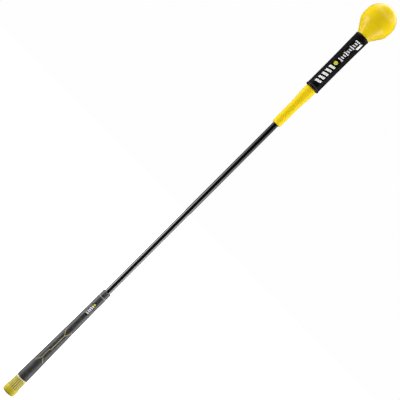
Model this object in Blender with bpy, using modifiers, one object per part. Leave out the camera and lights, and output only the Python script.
"""Swing trainer stick: a golf grip, a springy glass-fibre rod and a weighted ball head.

Metres, +Z up. The origin is the centre of the grip's flat end, and the rod runs up the Z axis.
The rod is one real piece. It is cut into lengths at hinge lines, so that it can be bent in the
X-Z plane: each hinge's axis is along Y and lies in the small gap between two lengths.
"""

import math

import bmesh
import bpy
from mathutils import Matrix

MM = 0.001

# Driving dimensions
LENGTH = 1016 * MM
ROD_RADIUS = 6.05 * MM
GAP = 0.3 * MM  # between neighbouring solids

CAP_TOP = 13.8 * MM
CAP_RADIUS = 13.5 * MM
CAP_ROUNDING = 3.0 * MM
VENT_RADIUS = 2.0 * MM
RIBBED_TOP = 36.4 * MM
RIBBED_RADII = (12.6 * MM, 11.9 * MM)  # at its bottom and top
RIBS = 20
RIB_DEPTH = 0.45 * MM
EDGE_RING_TOP = 38.3 * MM
EDGE_RING_RADIUS = 12.0 * MM

GRIP_TOP = 250.6 * MM
GRIP_BUTT_RADIUS = 11.9 * MM
GRIP_WAIST_RADIUS = 8.55 * MM
GRIP_WAIST_Z = 228 * MM
GRIP_MOUTH_RADIUS = 8.7 * MM
GRIP_TAPER_POWER = 1.25
WHITE_RING_TOP = 251.8 * MM
COLLAR_TOP = 264.2 * MM
COLLAR_RADIUS = 8.45 * MM
TAPE_RADIUS = 7.3 * MM
TAPE_SPAN = (26 * MM, 150 * MM)

HINGES = 6
FLEX_BOTTOM = 267 * MM
FLEX_TOP = 709 * MM
HINGE_GAP = 1.6 * MM
ROD_BOTTOM = 24 * MM
ROD_TOP = 1000 * MM

TAPER_BOTTOM = 710 * MM
TAPER_TOP = 804.4 * MM
TAPER_SLIM_RADIUS = 9.45 * MM
TAPER_WIDE_RADIUS = 11.5 * MM
SLEEVE_BOTTOM = 804.7 * MM
SLEEVE_TOP = 939.6 * MM
SLEEVE_LIP_RADIUS = 14.6 * MM
SLEEVE_WAIST_RADIUS = 13.75 * MM
SLEEVE_TOP_RADIUS = 14.9 * MM
SLEEVE_BORE = 12.0 * MM
WEIGHT_RADIUS = 11.7 * MM
WEIGHT_SPAN = (805.8 * MM, 939 * MM)

BALL_RADIUS = 32 * MM
BALL_BOTTOM = 939.9 * MM
BALL_NECK_RADIUS = 13.1 * MM
SHOULDER_RADIUS = 27 * MM
SHOULDER_ANGLE = math.radians(34)
CORE_RADIUS = 21 * MM

PIN_RADIUS = 1.5 * MM
PIN_HEIGHTS = (835 * MM, 905 * MM)

ROUND_STEPS = 40
ROD_STEPS = 24
BALL_CENTRE = LENGTH - BALL_RADIUS
HINGE_PITCH = (FLEX_TOP - FLEX_BOTTOM) / HINGES
HINGE_HEIGHTS = [FLEX_BOTTOM + (i + 0.5) * HINGE_PITCH for i in range(HINGES)]
BORE = ROD_RADIUS + GAP

# Colours are linear RGB, with roughness and metallic
FINISHES = {
    "yellow_rubber": ((0.80, 0.57, 0.01), 0.35, 0.0),
    "olive_yellow_rubber": ((0.62, 0.50, 0.10), 0.5, 0.0),
    "pale_rubber": ((0.80, 0.76, 0.40), 0.5, 0.0),
    "grip_rubber": ((0.035, 0.035, 0.038), 0.75, 0.0),
    "white_rubber": ((0.75, 0.75, 0.75), 0.5, 0.0),
    "sleeve_rubber": ((0.012, 0.013, 0.016), 0.5, 0.0),
    "gloss_black_rod": ((0.008, 0.008, 0.009), 0.15, 0.0),
    "masking_tape": ((0.72, 0.66, 0.48), 0.8, 0.0),
    "bare_steel": ((0.45, 0.45, 0.46), 0.35, 1.0),
    "spring_steel": ((0.20, 0.20, 0.21), 0.4, 1.0),
    "cast_iron": ((0.09, 0.09, 0.09), 0.7, 0.8),
}


def clear_scene():
    for old in list(bpy.data.objects):
        bpy.data.objects.remove(old, do_unlink=True)


def new_collection(name):
    made = bpy.data.collections.new(name)
    bpy.context.scene.collection.children.link(made)
    return made


def finish_material(name):
    """The material of this name, made on its first use."""
    if name in bpy.data.materials:
        return bpy.data.materials[name]
    colour, roughness, metallic = FINISHES[name]
    made = bpy.data.materials.new(name)
    made.use_nodes = True
    shader = made.node_tree.nodes["Principled BSDF"]
    shader.inputs["Base Color"].default_value = (*colour, 1)
    shader.inputs["Roughness"].default_value = roughness
    shader.inputs["Metallic"].default_value = metallic
    made.diffuse_color = (*colour, 1)
    return made


def arc(centre_r, centre_z, radius, start, end, count):
    """Points (r, z) on a circle between two angles from the +r direction, both ends included."""
    angles = [start + (end - start) * i / (count - 1) for i in range(count)]
    return [(centre_r + radius * math.cos(a), centre_z + radius * math.sin(a)) for a in angles]


def turned(name, outline, steps=ROUND_STEPS):
    """A solid of revolution. The outline's points (r, z) run down its outer side first.

    An outline that starts and ends on the axis is left open there; any other is a closed loop.
    """
    mesh = bpy.data.meshes.new(name)
    edges = [(i, i + 1) for i in range(len(outline) - 1)]
    if outline[0][0] > 0:
        edges.append((len(outline) - 1, 0))
    mesh.from_pydata([(r, 0, z) for r, z in outline], edges, [])
    made = bpy.data.objects.new(name, mesh)
    PARTS.objects.link(made)
    screw = made.modifiers.new("turn", "SCREW")
    screw.steps = screw.render_steps = steps
    screw.use_merge_vertices = True
    screw.merge_threshold = 1e-6
    return made


def tube(name, radius, bore, bottom, top, bevel=0.3 * MM, steps=ROUND_STEPS):
    """A plain tube whose outer corners are bevelled."""
    outline = [
        (radius - bevel, top),
        (radius, top - bevel),
        (radius, bottom + bevel),
        (radius - bevel, bottom),
        (bore, bottom),
        (bore, top),
    ]
    return turned(name, outline, steps)


def cross_hole(name, height):
    """A cylinder along X that only cuts, with room for a pin."""
    mesh = bpy.data.meshes.new(name)
    shape = bmesh.new()
    radius = PIN_RADIUS + GAP
    bmesh.ops.create_cone(
        shape, cap_ends=True, segments=16, radius1=radius, radius2=radius, depth=80 * MM
    )
    bmesh.ops.rotate(shape, verts=shape.verts, matrix=Matrix.Rotation(math.pi / 2, 3, "Y"))
    shape.to_mesh(mesh)
    shape.free()
    made = bpy.data.objects.new(name, mesh)
    made.location.z = height
    CUTTERS.objects.link(made)
    made.hide_render = True
    made.display_type = "WIRE"
    return made


def cut(target, cutter):
    boolean = target.modifiers.new("cut_" + cutter.name, "BOOLEAN")
    boolean.operation = "DIFFERENCE"
    boolean.object = cutter


def finish(made, finish_name, body):
    """Applies the modifiers, moves the origin to the body's hinge, and sets shading and finish."""
    bpy.context.view_layer.update()
    evaluated = made.evaluated_get(bpy.context.evaluated_depsgraph_get())
    mesh = bpy.data.meshes.new_from_object(evaluated)
    made.modifiers.clear()
    made.data = mesh
    mesh.transform(Matrix.Translation((0, 0, -body["hinge_z"])))
    mesh.shade_smooth()
    mesh.set_sharp_from_angle(angle=math.radians(35))
    mesh.materials.clear()
    mesh.materials.append(finish_material(finish_name))
    made.parent = body
    return made


def bodies_up_the_rod():
    """An empty for each moving body, at its hinge: the grip, the rod's short lengths, the head."""
    names = ["grip_body_frame"] + [f"rod_frame_{i}" for i in range(1, HINGES)] + ["head_frame"]
    made, below = [], None
    for name, height in zip(names, [0.0] + HINGE_HEIGHTS):
        frame = bpy.data.objects.new(name, None)
        frame["hinge_z"] = height
        frame.empty_display_size = 20 * MM
        frame.parent = below
        frame.location.z = height - (below["hinge_z"] if below else 0)
        PARTS.objects.link(frame)
        made.append(frame)
        below = frame
    return made


def butt_cap(body):
    """The moulded end cap: a rounded disc with a vent, and a spigot up into the ribbed end."""
    rounding = CAP_ROUNDING
    rim = arc(CAP_RADIUS - rounding, rounding, rounding, 0, -math.pi / 2, 6)
    spigot_radius, spigot_bore, spigot_top = 8.2 * MM, 5 * MM, ROD_BOTTOM - GAP
    outline = [
        (spigot_radius - 0.6 * MM, spigot_top),
        (spigot_radius, spigot_top - 0.6 * MM),
        (spigot_radius, CAP_TOP),
        (CAP_RADIUS - 0.6 * MM, CAP_TOP),
        (CAP_RADIUS, CAP_TOP - 0.8 * MM),
        *rim,
        (VENT_RADIUS, 0),
        (VENT_RADIUS, CAP_TOP),
        (spigot_bore, CAP_TOP),
        (spigot_bore, spigot_top),
    ]
    finish(turned("butt_cap", outline), "yellow_rubber", body)


def ribbed_end(body):
    """The tapered yellow end of the grip, ribbed along its length."""
    bottom, bore = CAP_TOP + GAP, 8.5 * MM
    lower_radius, upper_radius = RIBBED_RADII
    outer_side = [(upper_radius, RIBBED_TOP), (lower_radius, bottom)]
    cone = turned("ribbed_end", outer_side + [(bore, bottom), (bore, RIBBED_TOP)], 4 * RIBS)
    made = finish(cone, "olive_yellow_rubber", body)
    for vertex in made.data.vertices:
        radius = math.hypot(vertex.co.x, vertex.co.y)
        if radius > bore + GAP:
            around = math.atan2(vertex.co.y, vertex.co.x)
            groove = RIB_DEPTH * (0.5 - 0.5 * math.cos(RIBS * around))
            vertex.co.xy *= 1 - groove / radius


def grip_radius(height):
    """The grip's outer radius: a quick taper by the butt that eases out, then a slight mouth."""
    start = EDGE_RING_TOP + GAP
    if height >= GRIP_WAIST_Z:
        share = (height - GRIP_WAIST_Z) / (GRIP_TOP - GRIP_WAIST_Z)
        return GRIP_WAIST_RADIUS + (GRIP_MOUTH_RADIUS - GRIP_WAIST_RADIUS) * share
    left = (GRIP_WAIST_Z - height) / (GRIP_WAIST_Z - start)
    return GRIP_WAIST_RADIUS + (GRIP_BUTT_RADIUS - GRIP_WAIST_RADIUS) * left**GRIP_TAPER_POWER


def grip_body(body):
    """The black rubber grip, bored wide over the tape and close on the bare rod."""
    bottom, rows = EDGE_RING_TOP + GAP, 10
    heights = [GRIP_TOP - (GRIP_TOP - bottom) * i / rows for i in range(rows + 1)]
    step_z = TAPE_SPAN[1] + GAP
    outline = [(grip_radius(z), z) for z in heights]
    outline += [
        (TAPE_RADIUS + GAP, bottom),
        (TAPE_RADIUS + GAP, step_z),
        (BORE, step_z),
        (BORE, GRIP_TOP),
    ]
    finish(turned("grip_body", outline), "grip_rubber", body)


def grip_pieces(body):
    butt_cap(body)
    ribbed_end(body)
    grip_body(body)
    edge_ring = tube(
        "edge_ring", EDGE_RING_RADIUS, 8.5 * MM, RIBBED_TOP + GAP, EDGE_RING_TOP
    )
    finish(edge_ring, "pale_rubber", body)
    tape = tube("grip_tape", TAPE_RADIUS, BORE, *TAPE_SPAN, bevel=0.2 * MM, steps=32)
    finish(tape, "masking_tape", body)
    white_ring = tube(
        "white_ring", GRIP_MOUTH_RADIUS, BORE, GRIP_TOP + GAP, WHITE_RING_TOP
    )
    finish(white_ring, "white_rubber", body)
    collar = tube(
        "grip_collar", COLLAR_RADIUS, BORE, WHITE_RING_TOP + GAP, COLLAR_TOP, bevel=0.7 * MM
    )
    finish(collar, "grip_rubber", body)


def rod_lengths(bodies):
    """The rod, cut at the hinges. The last length has cross holes for its pins. Returns it."""
    names = ["rod_butt_length"]
    names += [f"rod_flex_length_{i}" for i in range(1, HINGES)]
    names += ["rod_tip_length"]
    bottoms = [ROD_BOTTOM] + [z + HINGE_GAP / 2 for z in HINGE_HEIGHTS]
    tops = [z - HINGE_GAP / 2 for z in HINGE_HEIGHTS] + [ROD_TOP]
    bevel = 0.4 * MM
    made = []
    for name, bottom, top in zip(names, bottoms, tops):
        outline = [
            (0, top),
            (ROD_RADIUS - bevel, top),
            (ROD_RADIUS, top - bevel),
            (ROD_RADIUS, bottom + bevel),
            (ROD_RADIUS - bevel, bottom),
            (0, bottom),
        ]
        made.append(turned(name, outline, ROD_STEPS))
    for piece, body in zip(made[:-1], bodies[:-1]):
        finish(piece, "gloss_black_rod", body)
    return made[-1]


def taper_sleeve(body):
    """The yellow moulding that grips the rod under the head: slim, then flared to the sleeve."""
    outline = [
        (TAPER_WIDE_RADIUS - 1.2 * MM, TAPER_TOP),
        (TAPER_WIDE_RADIUS - 0.3 * MM, TAPER_TOP - 0.8 * MM),
        (TAPER_WIDE_RADIUS, TAPER_TOP - 3 * MM),
        (TAPER_WIDE_RADIUS, TAPER_TOP - 15 * MM),
        (TAPER_WIDE_RADIUS - 0.5 * MM, TAPER_TOP - 23 * MM),
        (TAPER_SLIM_RADIUS + 0.9 * MM, TAPER_TOP - 32 * MM),
        (TAPER_SLIM_RADIUS + 0.1 * MM, TAPER_TOP - 43 * MM),
        (TAPER_SLIM_RADIUS, TAPER_BOTTOM + 6 * MM),
        (TAPER_SLIM_RADIUS - 0.4 * MM, TAPER_BOTTOM + 1.5 * MM),
        (TAPER_SLIM_RADIUS - 1.6 * MM, TAPER_BOTTOM),
        (BORE, TAPER_BOTTOM),
        (BORE, TAPER_TOP),
    ]
    finish(turned("taper_sleeve", outline), "yellow_rubber", body)


def head_sleeve(body):
    """The black tube over the weight, lipped at the bottom and flared towards the ball."""
    outline = [
        (SLEEVE_TOP_RADIUS - 0.6 * MM, SLEEVE_TOP),
        (SLEEVE_TOP_RADIUS, SLEEVE_TOP - 0.8 * MM),
        (SLEEVE_TOP_RADIUS, SLEEVE_TOP - 3 * MM),
        (SLEEVE_WAIST_RADIUS + 0.7 * MM, SLEEVE_TOP - 22 * MM),
        (SLEEVE_WAIST_RADIUS + 0.3 * MM, SLEEVE_TOP - 45 * MM),
        (SLEEVE_WAIST_RADIUS, SLEEVE_TOP - 76 * MM),
        (SLEEVE_WAIST_RADIUS, SLEEVE_BOTTOM + 4.5 * MM),
        (SLEEVE_LIP_RADIUS, SLEEVE_BOTTOM + 2.6 * MM),
        (SLEEVE_LIP_RADIUS, SLEEVE_BOTTOM + 0.6 * MM),
        (SLEEVE_LIP_RADIUS - 0.6 * MM, SLEEVE_BOTTOM),
        (SLEEVE_BORE, SLEEVE_BOTTOM),
        (SLEEVE_BORE, SLEEVE_TOP),
    ]
    finish(turned("head_sleeve", outline), "sleeve_rubber", body)


def ball_outline():
    """The ball's outer side, from its crown down a rounded shoulder to its neck."""
    shoulder_r = BALL_RADIUS - SHOULDER_RADIUS
    shoulder_z = BALL_BOTTOM + (
        SHOULDER_RADIUS * math.sin(SHOULDER_ANGLE)
        + (shoulder_r + SHOULDER_RADIUS * math.cos(SHOULDER_ANGLE) - BALL_NECK_RADIUS)
        / math.tan(SHOULDER_ANGLE)
    )
    crown = arc(0, BALL_CENTRE, BALL_RADIUS, math.pi / 2, 0, 13)
    crown[0] = (0, LENGTH)
    shoulder = arc(shoulder_r, shoulder_z, SHOULDER_RADIUS, 0, -SHOULDER_ANGLE, 5)
    return crown + shoulder + [(BALL_NECK_RADIUS, BALL_BOTTOM)]


def ball_shell(body):
    """The yellow rubber ball, moulded round the iron core and open at the neck for the rod."""
    radius = CORE_RADIUS + GAP
    hollow = arc(0, BALL_CENTRE, radius, -math.acos(BORE / radius), math.pi / 2, 12)
    hollow[-1] = (0, BALL_CENTRE + radius)
    outline = ball_outline() + [(BORE, BALL_BOTTOM)] + hollow
    finish(turned("ball_shell", outline), "yellow_rubber", body)


def ball_core():
    """The iron ball on the rod's end, with a blind bore. Its pin hole is cut later."""
    lip = -math.acos(BORE / CORE_RADIUS)
    surface = arc(0, BALL_CENTRE, CORE_RADIUS, math.pi / 2, lip, 12)
    surface[0] = (0, BALL_CENTRE + CORE_RADIUS)
    bore_top = ROD_TOP + GAP
    return turned("ball_core", surface + [(BORE, bore_top), (0, bore_top)], 32)


def roll_pin(name, length, height, body):
    """A spring pin: a thin slotted tube, driven across the rod."""
    bore, half_slot, sides = PIN_RADIUS - 0.6 * MM, 0.35 * MM, 16
    start = math.asin(half_slot / bore)
    angles = [start + (2 * math.pi - 2 * start) * i / sides for i in range(sides + 1)]
    outer = [(PIN_RADIUS * math.cos(a), PIN_RADIUS * math.sin(a)) for a in angles]
    inner = [(bore * math.cos(a), bore * math.sin(a)) for a in reversed(angles)]
    shape = bmesh.new()
    ring = [shape.verts.new((-length / 2, y, height + z)) for y, z in outer + inner]
    section = shape.faces.new(ring)
    pushed = bmesh.ops.extrude_face_region(shape, geom=[section])["geom"]
    moved = [item for item in pushed if isinstance(item, bmesh.types.BMVert)]
    bmesh.ops.translate(shape, verts=moved, vec=(length, 0, 0))
    bmesh.ops.recalc_face_normals(shape, faces=shape.faces)
    mesh = bpy.data.meshes.new(name)
    shape.to_mesh(mesh)
    shape.free()
    made = bpy.data.objects.new(name, mesh)
    PARTS.objects.link(made)
    finish(made, "spring_steel", body)


def head_pieces(body, rod_tip):
    """The mouldings, the steel weight and the iron core, with the pins that hold them."""
    taper_sleeve(body)
    head_sleeve(body)
    ball_shell(body)
    weight = tube("weight_tube", WEIGHT_RADIUS, BORE, *WEIGHT_SPAN, bevel=0.8 * MM)
    core = ball_core()
    pins = [
        ("roll_pin_lower", weight, PIN_HEIGHTS[0], 2 * (WEIGHT_RADIUS - 0.6 * MM)),
        ("roll_pin_upper", weight, PIN_HEIGHTS[1], 2 * (WEIGHT_RADIUS - 0.6 * MM)),
        ("core_pin", core, BALL_CENTRE, 2 * (CORE_RADIUS - 2 * MM)),
    ]
    for name, outer, height, length in pins:
        hole = cross_hole(name + "_hole", height)
        cut(outer, hole)
        cut(rod_tip, hole)
        roll_pin(name, length, height, body)
    finish(weight, "bare_steel", body)
    finish(core, "cast_iron", body)
    finish(rod_tip, "gloss_black_rod", body)


clear_scene()
PARTS = new_collection("swing_trainer_stick")
CUTTERS = new_collection("cutters")
BODIES = bodies_up_the_rod()
grip_pieces(BODIES[0])
head_pieces(BODIES[-1], rod_lengths(BODIES))
